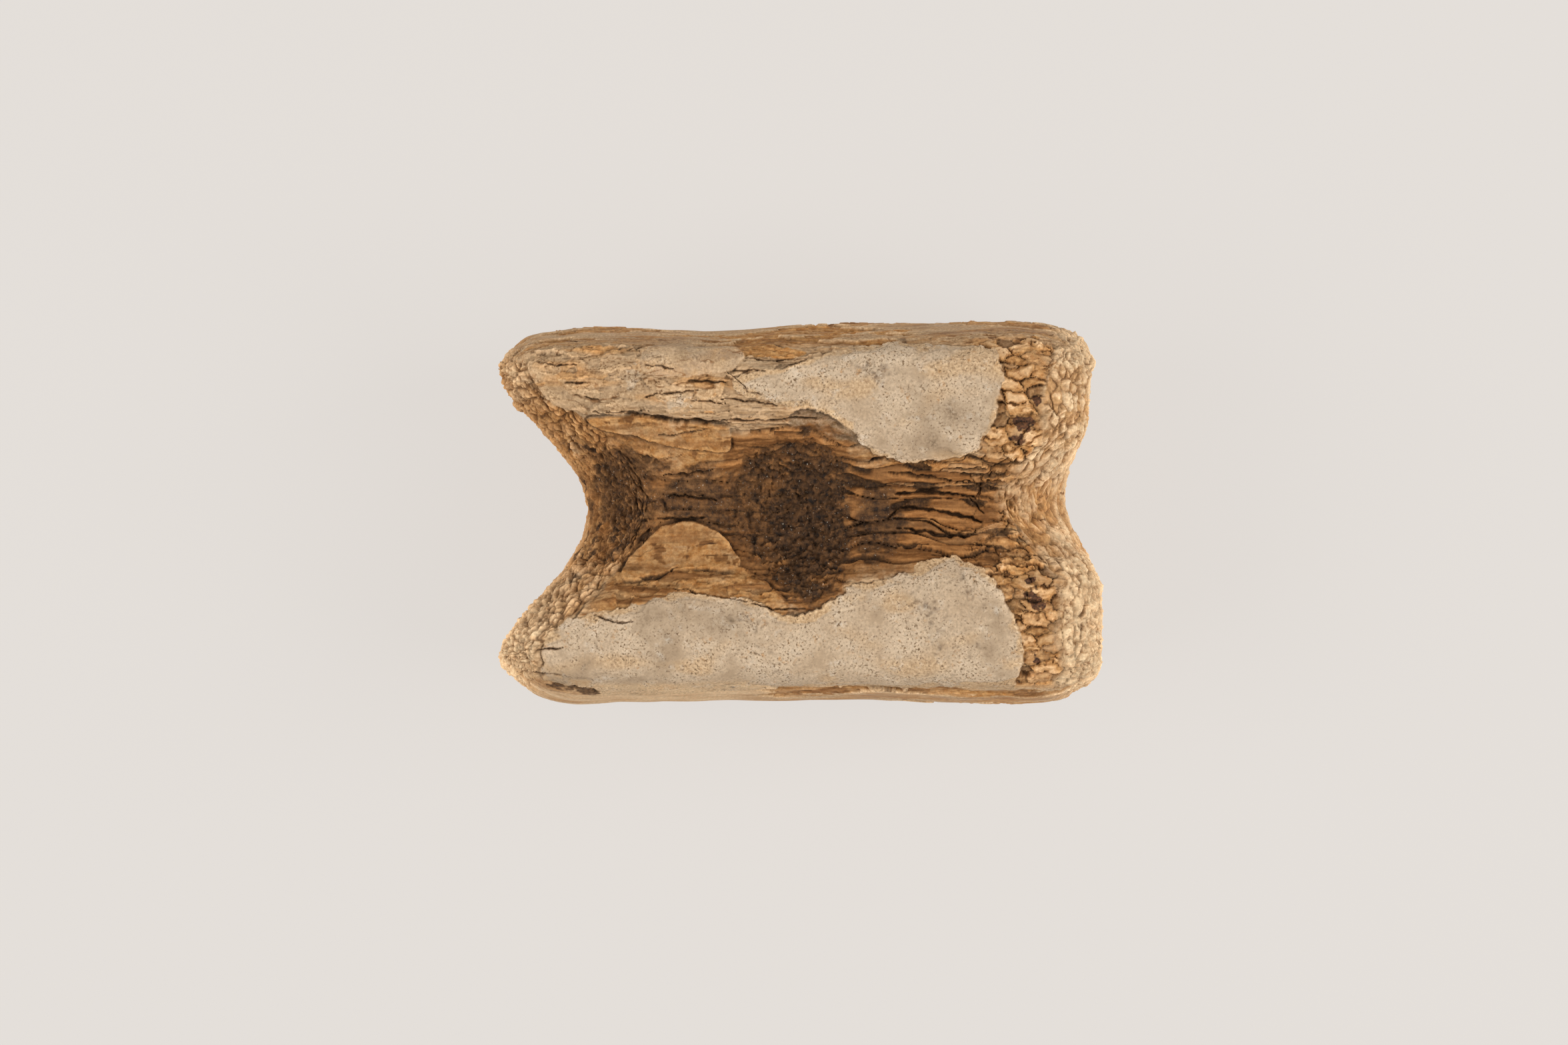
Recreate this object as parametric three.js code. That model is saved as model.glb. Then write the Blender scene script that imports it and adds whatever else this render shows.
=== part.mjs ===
// A weathered whale tail vertebra, reduced by age to its centrum: one solid bone.
//
// Frame: millimetres, +Z up, origin under the middle of the bone on the level that it rests on.
// +X runs from the deeply notched end to the blunt end, and +Z points to the neural side,
// where the stumps of the neural arch stand on two ridges with the canal floor between them.

import * as THREE from 'three';
import { mergeVertices } from 'three/addons/utils/BufferGeometryUtils.js';

// Driving sizes of the whole bone.
const LENGTH = 67.8;
const WIDTH = 43.2;
const HEIGHT = 35;
const CELL = 2.1;

// Radii of the rounded edges, along each axis.
const EDGE_X = 5.8;
const EDGE_Y = 3.8;
const EDGE_Z = 7.5;

// The two ends. Each is hollowed by an upright groove between two lobes.
const NOTCH_DEPTH = 9.7;
const NOTCH_HALF_WIDTH = 19.6;
const BLUNT_NOTCH_DEPTH = 2.9;
const BLUNT_NOTCH_HALF_WIDTH = 10.5;
const BLUNT_NOTCH_Y = 0.9;
const SHORT_LOBE = 1.5;
const ROLL_OFF = 3.4;
const LOBE_TAPER_NOTCHED = 0.09;
const LOBE_TAPER_BLUNT = 0.04;

// The neural side: a canal between the ridges, and the pit of a vessel in its floor.
const CANAL_DEPTH_NOTCHED = 5.2;
const CANAL_DEPTH_BLUNT = 3;
const CANAL_HALF_WIDTH_NOTCHED = 13.5;
const CANAL_HALF_WIDTH_BLUNT = 7.5;
const PIT_DEPTH = 3.2;
const RIDGE_DROP = 1;
const PIT = { x: -1.8, y: 0.6, reachX: 9.5, reachY: 11 };

// The side walls: a worn swelling where the side processes stood, with a slight waist.
const SWELLING = 1.5;
const WAIST = 0.55;

// The underside: two low keels, arched between worn pads at their ends, and a trough between.
const TROUGH_DEPTH = 2.4;
const TROUGH_HALF_WIDTH = 9.5;
const ARCH_HEIGHT = 1.1;
const ARCH_HALF_LENGTH = 19;
const KEEL_WEAR = 0.4;

const halfLength = LENGTH / 2;
const halfWidth = WIDTH / 2;
const halfHeight = HEIGHT / 2;

// 0 below low, 1 above high, and an S-curve between them.
const smoothStep = (low, high, value) => THREE.MathUtils.smoothstep(value, low, high);

// A smooth hump: 1 at distance 0, falling to 0 at distance 1 and beyond.
function hump(distance) {
  const reach = Math.min(Math.abs(distance), 1);
  return Math.cos(reach * Math.PI / 2) ** 2;
}

// A block with elliptical edges, from a point of the cube whose sides run from -1 to 1.
function roundedBlock(p, q, r) {
  const half = new THREE.Vector3(halfLength, halfWidth, halfHeight);
  const edge = new THREE.Vector3(EDGE_X, EDGE_Y, EDGE_Z);
  const core = half.clone().sub(edge);
  const point = new THREE.Vector3(p, q, r).multiply(half);
  const inner = point.clone().clamp(core.clone().negate(), core);
  const outward = point.sub(inner).divide(edge).normalize().multiply(edge);
  return inner.add(outward);
}

// The upright grooves in the ends, and the slope of the end faces away from the canal.
function hollowEnds(point, upper) {
  if (point.x < 0) {
    const groove = hump(point.y / NOTCH_HALF_WIDTH);
    const depth = (NOTCH_DEPTH + ROLL_OFF * upper) * groove;
    return point.x * (1 - depth / halfLength);
  }
  const groove = hump((point.y - BLUNT_NOTCH_Y) / BLUNT_NOTCH_HALF_WIDTH);
  const shorter = SHORT_LOBE * smoothStep(-6, 6, point.y);
  const depth = shorter + (BLUNT_NOTCH_DEPTH + ROLL_OFF * upper) * groove;
  return point.x * (1 - depth / halfLength);
}

// The side walls lean out to a swelling at mid height, draw in to a slight waist, and
// taper towards the tips of the lobes.
function swellSides(point) {
  const swelling = SWELLING * (1 - hump(point.z / (0.85 * halfHeight)));
  const waist = WAIST * hump(point.x / halfLength);
  const towardsTip = smoothStep(0.72 * halfLength, halfLength, Math.abs(point.x));
  const taper = (point.x < 0 ? LOBE_TAPER_NOTCHED : LOBE_TAPER_BLUNT) * towardsTip;
  return point.y * (1 - (swelling + waist) / halfWidth - taper);
}

// Depth of the canal and its pit below the ridges, which drop a little at the notched end.
function canal(x, y) {
  const along = smoothStep(-halfLength, halfLength, x);
  const depth = THREE.MathUtils.lerp(CANAL_DEPTH_NOTCHED, CANAL_DEPTH_BLUNT, along);
  const reach = THREE.MathUtils.lerp(CANAL_HALF_WIDTH_NOTCHED, CANAL_HALF_WIDTH_BLUNT, along);
  const floor = depth * hump(Math.max(Math.abs(y) / reach - 0.2, 0) / 0.8);
  const pit = PIT_DEPTH * hump(Math.hypot((x - PIT.x) / PIT.reachX, (y - PIT.y) / PIT.reachY));
  const drop = RIDGE_DROP * (1 - smoothStep(-halfLength, 0, x));
  return floor + pit + drop;
}

function boneSurface(p, q, r) {
  const block = roundedBlock(p, q, r);
  const upper = smoothStep(0.1 * halfHeight, halfHeight, block.z);
  const lower = smoothStep(0, halfHeight, -block.z);
  const x = hollowEnds(block, upper);
  const y = swellSides(block);
  const trough = TROUGH_DEPTH * hump(y / TROUGH_HALF_WIDTH);
  const arch = ARCH_HEIGHT * hump(x / ARCH_HALF_LENGTH);
  const raised = (trough + arch - KEEL_WEAR) * lower;
  const z = block.z + halfHeight - canal(x, y) * upper + raised;
  return new THREE.Vector3(x, y, Math.max(z, 0));
}

// One grid over each face of the cube. Neighbouring grids share the points of their edge.
function cubeGrid(toPoint) {
  const cells = {
    x: Math.round(LENGTH / CELL),
    y: Math.round(WIDTH / CELL),
    z: Math.round(HEIGHT / CELL),
  };
  const faces = [
    ['x', 'y', (a, b) => [a, b, 1]],
    ['y', 'x', (a, b) => [b, a, -1]],
    ['y', 'z', (a, b) => [1, a, b]],
    ['z', 'y', (a, b) => [-1, b, a]],
    ['z', 'x', (a, b) => [b, 1, a]],
    ['x', 'z', (a, b) => [a, -1, b]],
  ];
  const positions = [];
  const triangles = [];
  for (const [alongA, alongB, toCube] of faces) {
    const countA = cells[alongA];
    const countB = cells[alongB];
    const first = positions.length / 3;
    for (let j = 0; j <= countB; j++) {
      for (let i = 0; i <= countA; i++) {
        const point = toPoint(...toCube(2 * i / countA - 1, 2 * j / countB - 1));
        positions.push(point.x, point.y, point.z);
      }
    }
    for (let j = 0; j < countB; j++) {
      for (let i = 0; i < countA; i++) {
        const corner = first + j * (countA + 1) + i;
        const above = corner + countA + 1;
        triangles.push(corner, corner + 1, above + 1, corner, above + 1, above);
      }
    }
  }
  const geometry = new THREE.BufferGeometry();
  geometry.setAttribute('position', new THREE.Float32BufferAttribute(positions, 3));
  geometry.setIndex(triangles);
  return geometry;
}

function centrum() {
  const geometry = mergeVertices(cubeGrid(boneSurface), 1e-3);
  geometry.computeVertexNormals();
  const material = new THREE.MeshStandardMaterial({ color: 0xb38a5c, roughness: 0.85, metalness: 0 });
  const mesh = new THREE.Mesh(geometry, material);
  mesh.name = 'centrum';
  return mesh;
}

const vertebra = new THREE.Group();
vertebra.add(centrum());

export default vertebra;
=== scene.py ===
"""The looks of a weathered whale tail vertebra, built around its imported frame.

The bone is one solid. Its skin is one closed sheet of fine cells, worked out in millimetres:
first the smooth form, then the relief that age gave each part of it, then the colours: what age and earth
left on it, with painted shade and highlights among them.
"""

import math

import bpy
import numpy as np
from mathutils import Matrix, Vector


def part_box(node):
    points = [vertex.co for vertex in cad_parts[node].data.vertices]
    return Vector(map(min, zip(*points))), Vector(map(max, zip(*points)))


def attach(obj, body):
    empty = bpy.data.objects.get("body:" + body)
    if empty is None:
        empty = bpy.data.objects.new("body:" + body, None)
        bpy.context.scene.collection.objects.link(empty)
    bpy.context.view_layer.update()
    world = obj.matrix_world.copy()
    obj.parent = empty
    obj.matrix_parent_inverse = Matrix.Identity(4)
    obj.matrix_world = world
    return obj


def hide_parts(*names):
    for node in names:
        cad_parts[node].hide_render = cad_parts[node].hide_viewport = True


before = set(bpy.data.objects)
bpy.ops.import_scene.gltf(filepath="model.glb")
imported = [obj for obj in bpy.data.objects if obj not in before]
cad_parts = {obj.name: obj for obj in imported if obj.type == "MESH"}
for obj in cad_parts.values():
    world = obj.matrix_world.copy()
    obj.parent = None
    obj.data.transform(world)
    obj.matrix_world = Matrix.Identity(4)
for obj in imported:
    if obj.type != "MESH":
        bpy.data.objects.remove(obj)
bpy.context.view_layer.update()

# ----------------------------------------------------------------------------------------
# The camera looks straight down on the neural side, as at a small find on a light table.
# It hangs 0.6 m over the bone's mid height, a little off the middle of its box.

MM = 0.001
lowest, highest = (np.array(corner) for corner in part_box("centrum"))
middle = (lowest + highest) / 2
CAMERA_REACH = 600 * MM
CAMERA_OFFSET = (-1.76 * MM, -1.13 * MM)
FRAME_WIDTH = 176.4 * MM

camera_data = bpy.data.cameras.new("camera")
camera_data.sensor_width = 36
camera_data.lens = camera_data.sensor_width * CAMERA_REACH / FRAME_WIDTH
camera_data.clip_start = 0.05
camera_data.clip_end = 20
camera = bpy.data.objects.new("camera", camera_data)
camera.location = (CAMERA_OFFSET[0], CAMERA_OFFSET[1], middle[2] + CAMERA_REACH)
bpy.context.collection.objects.link(camera)
bpy.context.scene.camera = camera

# ----------------------------------------------------------------------------------------
# The form: a whale's tail vertebra worn down to its centrum. Two ridges carry the stumps of
# the neural arch, a canal runs between them, and both end faces are hollowed.

LENGTH, WIDTH, HEIGHT = 67.8, 43.2, 35.0
HALF = np.array([LENGTH, WIDTH, HEIGHT]) / 2
EDGE = np.array([5.8, 3.8, 7.5])
NOTCH_DEPTH, NOTCH_HALF_WIDTH = 9.7, 19.6
BLUNT_DEPTH, BLUNT_HALF_WIDTH, BLUNT_Y = 2.9, 10.5, 0.9
SHORT_LOBE, ROLL_OFF = 1.5, 3.4
TAPER_NOTCHED, TAPER_BLUNT = 0.09, 0.04
SWELLING, WAIST = 1.5, 0.55
CANAL_DEPTHS, CANAL_REACHES = (5.2, 3.0), (13.5, 7.5)
RIDGE_DROP = 1.0
PIT_DEPTH, PIT_X, PIT_Y, PIT_REACH_X, PIT_REACH_Y = 3.2, -1.8, 0.6, 9.5, 11.0
TROUGH_DEPTH, TROUGH_HALF_WIDTH = 2.4, 9.5
ARCH_HEIGHT, ARCH_HALF_LENGTH, KEEL_WEAR = 1.1, 19.0, 0.4


def ramp(low, high, value):
    """0 below low, 1 above high, and 3t^2 - 2t^3 between them."""
    t = np.clip((value - low) / (high - low), 0, 1)
    return t * t * (3 - 2 * t)


def hump(distance):
    """cos^2 of a quarter turn times distance: 1 at distance 0, and 0 from distance 1 on."""
    return np.cos(np.minimum(np.abs(distance), 1) * np.pi / 2) ** 2


def mix(first, second, share):
    """first where share is 0, second where it is 1."""
    return first + (second - first) * share


def rounded_block(cube):
    """A point of the cube from -1 to 1, carried to a block whose edges are ellipses: what
    sticks out of the inner core is brought to the length of the edge's three radii."""
    point = cube * HALF
    core = np.clip(point, EDGE - HALF, HALF - EDGE)
    outward = (point - core) / EDGE
    outward /= np.linalg.norm(outward, axis=1, keepdims=True)
    return core + outward * EDGE


def bone_form(block):
    """The block with hollowed ends (a hump across each), swollen side walls, a canal and pit
    sunk in the upper face, and a trough and an arch raised in the lower one."""
    bx, by, bz = block.T
    upper = ramp(0.1 * HALF[2], HALF[2], bz)
    lower = ramp(0, HALF[2], -bz)
    notched = (NOTCH_DEPTH + ROLL_OFF * upper) * hump(by / NOTCH_HALF_WIDTH)
    blunt = (BLUNT_DEPTH + ROLL_OFF * upper) * hump((by - BLUNT_Y) / BLUNT_HALF_WIDTH)
    blunt += SHORT_LOBE * ramp(-6, 6, by)
    x = bx * (1 - np.where(bx < 0, notched, blunt) / HALF[0])
    tip = ramp(0.72 * HALF[0], HALF[0], np.abs(bx))
    taper = np.where(bx < 0, TAPER_NOTCHED, TAPER_BLUNT) * tip
    swelling = SWELLING * (1 - hump(bz / (0.85 * HALF[2])))
    y = by * (1 - (swelling + WAIST * hump(bx / HALF[0])) / HALF[1] - taper)
    z = bz + HALF[2] - canal_depth(x, y) * upper
    trough = TROUGH_DEPTH * hump(y / TROUGH_HALF_WIDTH)
    z += (trough + ARCH_HEIGHT * hump(x / ARCH_HALF_LENGTH) - KEEL_WEAR) * lower
    return np.stack([x, y, np.maximum(z, 0)], axis=1)


def canal_depth(x, y):
    """A flat-bottomed hump across, deeper and wider towards the notched end, plus the pit's
    round hump and the small drop of the ridges."""
    along = ramp(-HALF[0], HALF[0], x)
    across = np.abs(y) / mix(*CANAL_REACHES, along)
    floor = mix(*CANAL_DEPTHS, along) * hump(np.maximum(across - 0.2, 0) / 0.8)
    pit = PIT_DEPTH * hump(np.hypot((x - PIT_X) / PIT_REACH_X, (y - PIT_Y) / PIT_REACH_Y))
    return floor + pit + RIDGE_DROP * (1 - ramp(-HALF[0], 0, x))


# The sheet is a lattice over the cube: one grid for each face, with the edge points shared.
# Cells are about 0.12 mm on the neural side, and finer towards it on the walls.
CELL_COUNTS = (565, 360, 165)
FINER_ON_TOP = 0.4
FACE_AXES = {"top": (0, 1, 1), "base": (1, 0, 0), "blunt": (1, 2, 1),
             "notched": (2, 1, 0), "back": (2, 0, 1), "front": (0, 2, 0)}


def face_lattice(first, second, far):
    """Lattice numbers (i, j, k) over one face: two axes run, and the third stays at its low
    or high end. The two are in the order that turns the face outwards."""
    rows, columns = np.meshgrid(np.arange(CELL_COUNTS[second] + 1),
                                np.arange(CELL_COUNTS[first] + 1), indexing="ij")
    third = 3 - first - second
    lattice = np.empty(rows.shape + (3,), dtype=np.int64)
    lattice[..., first] = columns
    lattice[..., second] = rows
    lattice[..., third] = CELL_COUNTS[third] * far
    return lattice


face_keys = {}
for face, axes in FACE_AXES.items():
    i, j, k = np.moveaxis(face_lattice(*axes), -1, 0)
    face_keys[face] = (i * (CELL_COUNTS[1] + 1) + j) * (CELL_COUNTS[2] + 1) + k
keys = np.unique(np.concatenate([key.ravel() for key in face_keys.values()]))
face_points = {face: np.searchsorted(keys, key) for face, key in face_keys.items()}

i, jk = np.divmod(keys, (CELL_COUNTS[1] + 1) * (CELL_COUNTS[2] + 1))
j, k = np.divmod(jk, CELL_COUNTS[2] + 1)
cube = np.stack([i, j, k], axis=1) / (np.array(CELL_COUNTS) / 2) - 1
cube[:, 2] += FINER_ON_TOP * (1 - cube[:, 2] ** 2) / 2
block = rounded_block(cube)
form = bone_form(block)
point_count = len(form)


def sheet_normals(points):
    """The mean of the cells' normals round each point. A cell's is the cross product of its
    diagonals, so large cells weigh more."""
    total = np.zeros_like(points)
    for grid in face_points.values():
        a, b = grid[:-1, :-1], grid[:-1, 1:]
        c, d = grid[1:, 1:], grid[1:, :-1]
        cell = np.cross(points[c] - points[a], points[d] - points[b]).reshape(-1, 3)
        for corner in (a, b, c, d):
            for axis in range(3):
                total[:, axis] += np.bincount(corner.ravel(), cell[:, axis], point_count)
    return total / np.linalg.norm(total, axis=1, keepdims=True)


def neighbour_pairs():
    """The two ends of every cell edge of the lattice."""
    starts, ends = [], []
    for grid in face_points.values():
        starts += [grid[:, :-1].ravel(), grid[:-1].ravel()]
        ends += [grid[:, 1:].ravel(), grid[1:].ravel()]
    return np.concatenate(starts), np.concatenate(ends)


pair_start, pair_end = neighbour_pairs()
neighbour_count = (np.bincount(pair_start, minlength=point_count)
                   + np.bincount(pair_end, minlength=point_count))


def spread(value, rounds):
    """Each value is averaged half and half with the mean of its neighbours, again and again:
    a blur of about 0.06 mm times the root of rounds."""
    for _ in range(rounds):
        total = np.bincount(pair_start, value[pair_end], point_count)
        total += np.bincount(pair_end, value[pair_start], point_count)
        value = (value + total / neighbour_count) / 2
    return value


outward = sheet_normals(form)
x, y, z = form.T
facing_up = ramp(0.2, 0.65, outward[:, 2])
facing_end = ramp(0.45, 0.8, np.abs(outward[:, 0]))

# ----------------------------------------------------------------------------------------
# Weathered bone has a grain: collagen and canals run along the body, so that it parts into
# long thin layers. These noises carry that grain. Sizes are in mm.

HASH_STEPS = (0x9E3779B1, 0x85EBCA77, 0xC2B2AE3D)


def scrambled(cells, seed):
    """One scrambled 32-bit number for each box of space, from its three box numbers."""
    mixed = np.full(cells[0].shape, (seed * 0x27D4EB2F) & 0xFFFFFFFF, dtype=np.uint32)
    for cell, step in zip(cells, HASH_STEPS):
        mixed ^= cell.astype(np.uint32) * np.uint32(step)
        mixed ^= mixed >> np.uint32(15)
        mixed *= np.uint32(0x2C1B3C6D)
        mixed ^= mixed >> np.uint32(13)
    return mixed


def shares(mixed):
    """Three numbers from 0 to 1 out of the bytes of each scrambled number."""
    return [((mixed >> np.uint32(shift)) & np.uint32(0xFF)) / 255.0 for shift in (0, 8, 16)]


def wave(points, size, seed):
    """Gradient noise of about -1 to 1: in each box of that size the slopes of its 8 corners
    are mixed by 6t^5 - 15t^4 + 10t^3."""
    scaled = points / size
    corner = np.floor(scaled)
    part = (scaled - corner).T
    corner = corner.astype(np.int64).T
    ease = part ** 3 * (part * (part * 6 - 15) + 10)
    total = np.zeros(len(points))
    for number in range(8):
        step = [number & 1, number >> 1 & 1, number >> 2 & 1]
        slopes = shares(scrambled([c + s for c, s in zip(corner, step)], seed))
        value, weight = 0, 1
        for axis in range(3):
            value = value + (slopes[axis] * 2 - 1) * (part[axis] - step[axis])
            weight = weight * (ease[axis] if step[axis] else 1 - ease[axis])
        total += value * weight
    return total * 1.7


def rough(points, size, seed, octaves=3, gain=0.5):
    """Waves of halving size and shrinking height, added up."""
    size = np.array(size, dtype=float)
    return sum(gain ** n * wave(points, size / 2 ** n, seed + n) for n in range(octaves))


def ragged(points, reach, size, seed):
    """The points pushed about by waves of that size and a third of it, up to reach in mm, so
    that edges drawn with them are ragged."""
    push = [wave(points, size, seed + axis) + 0.4 * wave(points, size * 0.3, seed + 3 + axis)
            for axis in range(3)]
    return points + reach * np.stack(push, axis=1)


def crumbs(points, size, seed):
    """One random point in each box of that size, with the cell round it that is nearest to it.
    Gives the distance and the way to that point in boxes, the way to the cell's border in mm
    (second^2 - first^2, over twice the length of the line between the two nearest points
    divided by the box), how far that border runs along x, and three numbers of the cell."""
    size = np.array(size, dtype=float)
    scaled = points / size
    home = np.floor(scaled).astype(np.int64)
    nearest = np.full(len(points), 9.0)
    second = nearest.copy()
    nearest_way = np.zeros((3, len(points)))
    second_way = np.zeros((3, len(points)))
    name = np.zeros(len(points), dtype=np.uint32)
    for number in range(27):
        step = np.array([number % 3, number // 3 % 3, number // 9]) - 1
        box = (home + step).T
        mixed = scrambled(box, seed)
        way = np.stack([b + 0.1 + 0.8 * s - p for b, s, p in zip(box, shares(mixed), scaled.T)])
        distance = np.sqrt((way ** 2).sum(axis=0))
        closer = distance < nearest
        between = ~closer & (distance < second)
        second_way = np.where(closer, nearest_way, np.where(between, way, second_way))
        second = np.where(closer, nearest, np.where(between, distance, second))
        nearest_way = np.where(closer, way, nearest_way)
        nearest = np.where(closer, distance, nearest)
        name = np.where(closer, mixed, name)
    line = (second_way - nearest_way) / size[:, None]
    length = np.maximum(np.sqrt((line ** 2).sum(axis=0)), 1e-6)
    border = (second ** 2 - nearest ** 2) / 2 / length
    lengthwise = 1 - np.abs(line[0]) / length
    return nearest, nearest_way, border, lengthwise, shares(scrambled([name] * 3, seed + 1))


def chips(points, size, seed):
    """Broken chips: each crumb is a flat face with its own height and slopes, so that
    neighbours meet in steps. Gives the height, about -0.6 to 0.6, and what crumbs gives of
    the border and the cell."""
    nearest, way, border, lengthwise, own = crumbs(points, size, seed)
    slope = sum((own[n] - 0.5) * way[n - 1] for n in range(3))
    return 0.6 * (own[0] - 0.5) + 0.9 * slope, border, lengthwise, own


def layered(points, sizes, seed, levels):
    """Rough ground cut into terraces: flat treads, with a riser over an eighth of each. Gives
    the height, a random number from 0 to 1 for each tread, and how near the foot of the next
    riser is."""
    sizes = np.array(sizes)
    ground = 1.1 * wave(points, sizes, seed) + 0.5 * wave(points, sizes * 0.4, seed + 1)
    ground += 0.2 * rough(points, sizes * 0.13, seed + 2, octaves=2)
    step, part = np.divmod(ground * levels, 1)
    step = step.astype(np.int64)
    own = mix(shares(scrambled([step] * 3, seed))[0], shares(scrambled([step + 1] * 3, seed))[0],
              ramp(0, 0.12, part))
    return (step + ramp(0, 0.12, part)) / levels, own, ramp(0.84, 0.97, part)


relief = 0.20 * wave(form, 11, 1) + 0.13 * wave(form, 4.5, 2) - 0.12
colour_layer_names = ("plate", "tan_edge", "brown", "soil_and_shade", "ochre", "cream", "grey", "iron", "crack_and_shadow")
colour_layers = {name: np.zeros(point_count) for name in colour_layer_names}
colour_layers["tone"] = np.full(point_count, 0.5)


def lay(name, amount, where=slice(None)):
    """A colour layer only grows: the stronger of what is there and what is added stays."""
    colour_layers[name][where] = np.maximum(colour_layers[name][where], amount)


# ----------------------------------------------------------------------------------------
# The cortex of the side walls and the underside. It has flaked: pale plates of the old
# outer skin stand over coarser layers, with long splits along the grain.

CORTEX_STEP = 0.34
walls = 1 - facing_up
terrace, tread, wall_foot_shadow = layered(form, (13.0, 3.4, 3.4), 20, levels=2.4)
flake = 0.8 * wave(form, (15, 5.5, 5.5), 30) + 0.35 * wave(form, (5, 1.6, 1.6), 31)
flake += 0.22 * rough(form, (2.0, 0.7, 0.7), 32, octaves=2)

# Below the lower plate the outer skin is whole: warm, pale, and with a border that strays. Its cream and
# ochre are partly painted light on this front wall.
strayed = 5 * wave(form, 6, 34)
plate_wall = ramp(9, 25, z + strayed) * ramp(3, -9, x + strayed) * ramp(-34, -24, x - strayed)
plate_wall *= y < 0
flake += 0.9 * plate_wall
old_skin = ramp(-0.03, 0.05, flake - 0.02)
fibres = 0.6 * wave(form, (5, 0.55, 0.55), 40) + 0.4 * wave(form, (2.2, 0.3, 0.3), 41)
split_line = np.abs(wave(form, (9, 1.6, 1.6), 45) + 0.12 * wave(form, (1.5, 0.6, 0.6), 46))
split_place = ramp(0.05, 0.4, wave(form, (6, 3, 3), 47))
long_splits = (1 - ramp(0.01, 0.07, split_line)) * split_place * (1 - facing_end)

wall_chip, _, _, own = chips(ragged(form, 0.4, 1.6, 55), (4.6, 1.5, 1.5), 48)
layer_relief = 0.36 * terrace + 0.10 * fibres + 0.22 * wall_chip
skin_relief = CORTEX_STEP / 2 + 0.05 * wave(form, (4, 1.2, 1.2), 50) + 0.035 * fibres
wall_relief = mix(layer_relief - CORTEX_STEP / 2, skin_relief, old_skin)
wall_relief -= 0.35 * long_splits * (1 - 0.6 * old_skin)
wall_relief -= 0.75 * ramp(8, 18, y) * ramp(0, -10, x) * ramp(-32, -26, x)
colour_layers["tone"] = mix(0.5 * tread + 0.5 * own[1], colour_layers["tone"], old_skin) + 0.25
wall_mask = walls * (1 - facing_end)
felted = old_skin * (0.8 + 0.7 * wave(form, (5, 2, 2), 37)) * (1 - 0.7 * plate_wall)
lay("plate", 0.42 * felted * wall_mask)
lay("tan_edge", (1 - ramp(0.05, 0.55, flake)) * old_skin * wall_mask)
# Tan, cream and ochre on the whole skin of the front wall: its own colour, lightened further as painted
# light.
warm = plate_wall * wall_mask * (0.75 + 0.5 * wave(form, (5, 2, 2), 36))
lay("tan_edge", 0.9 * warm)
lay("cream", 0.75 * warm)
lay("ochre", warm)
# Browner at the foot of each riser on the walls: painted shadow under the layers' edges.
lay("brown", 0.55 * wall_foot_shadow * (1 - old_skin) * wall_mask)
lay("crack_and_shadow", 0.8 * long_splits * wall_mask * (1 - 0.5 * old_skin))
lay("ochre", wall_mask * (0.60 + 0.4 * ramp(-0.2, 0.5, wave(form, (9, 4, 4), 52))))
lay("brown", 0.7 * ramp(0.0, 0.6, wave(form, (7, 2.5, 2.5), 53)) * (1 - old_skin) * wall_mask)
lay("brown", 0.45 * wall_mask * ramp(0, 0.5, wave(form, (10, 0.8, 0.8), 56)) * (1 - plate_wall))
lay("ochre", 0.8 * wall_mask * ramp(18, 28, z) * (y > 0))
lay("grey", 0.5 * ramp(0.15, 0.6, wave(form, (5, 3, 3), 54)) * wall_mask * (1 - plate_wall))

# ----------------------------------------------------------------------------------------
# The end faces and their rims. The growth plate has gone, and what shows is knobbly young
# bone: worn knobs in rows that follow the rim, with rusty creases and holes between them.

BLUNT_REACH = 6.4
NOTCHED_REACH, NOTCHED_REACH_BACK, NOTCHED_REACH_FRONT = 7.2, 4.4, 6.0
notched_side = ramp(4, -4, x)
jostled = ragged(block, 0.42, 1.9, 60)
lobe_reach = np.where(y > 0, NOTCHED_REACH_BACK, NOTCHED_REACH_FRONT)
notched_reach = mix(NOTCHED_REACH, lobe_reach, ramp(8, 14, np.abs(y)))
rim_reach = mix(BLUNT_REACH, notched_reach, notched_side)
rim_reach += mix(1.6, 0.8, notched_side) * wave(form, 2.6, 66)
rim_reach += 2.0 * wave(form, (5, 3, 3), 67) * walls
rim_blend = mix(mix(2.4, np.where(y > 0, 1.3, 2.6), notched_side), 4.5, walls)
rim = ramp(0, rim_blend, np.abs(block[:, 0]) - (HALF[0] - rim_reach))
rim = np.maximum(rim, facing_end)
near_rim = np.flatnonzero(rim > 0)
at_rim, jostled = form[near_rim], jostled[near_rim]
rim_amount, at_notch = rim[near_rim], notched_side[near_rim]

big_lump, _, _, big_own = chips(jostled, (2.9, 3.4, 3.0), 170)
lump, lump_border, _, lump_own = chips(jostled, (1.25, 1.75, 1.5), 172)
bit, bit_border, _, bit_own = chips(jostled, (0.70, 0.90, 0.80), 174)
split_up = ramp(0.5, 0.65, lump_own[2])
off_middle = np.abs(at_rim[:, 1])
on_corner = 0.6 * walls[near_rim] * ramp(12, 16, off_middle)
face_top = mix(28, 31, ramp(7, 14, off_middle))
on_face = np.maximum(facing_end[near_rim], on_corner) * ramp(face_top, 18, at_rim[:, 2])
on_slope = at_notch * (1 - on_face) * ramp(6, 22, at_rim[:, 2])
middle_end = (1 - at_notch) * hump((at_rim[:, 1] - 0.5) / 8) * ramp(31, 26, at_rim[:, 0])
low_lobe = at_notch * ramp(-8, -13, at_rim[:, 1])
closed = ramp(-0.35, 0.35, wave(at_rim, 2.2, 180)) * (1 - 0.7 * on_face)
crevice = (1 - ramp(0.03, 0.17, lump_border)) * np.maximum(closed, 0.8 * on_slope)
fine_crevice = 1 - ramp(0.02, 0.11, bit_border)
fine_share = np.maximum(0.6 * split_up * (1 - 0.5 * on_face), 0.5 * on_slope)
low_blunt = (1 - at_notch) * ramp(0, -12, at_rim[:, 1]) * (0.3 + 0.7 * ramp(14, 27, at_rim[:, 2]))
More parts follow.
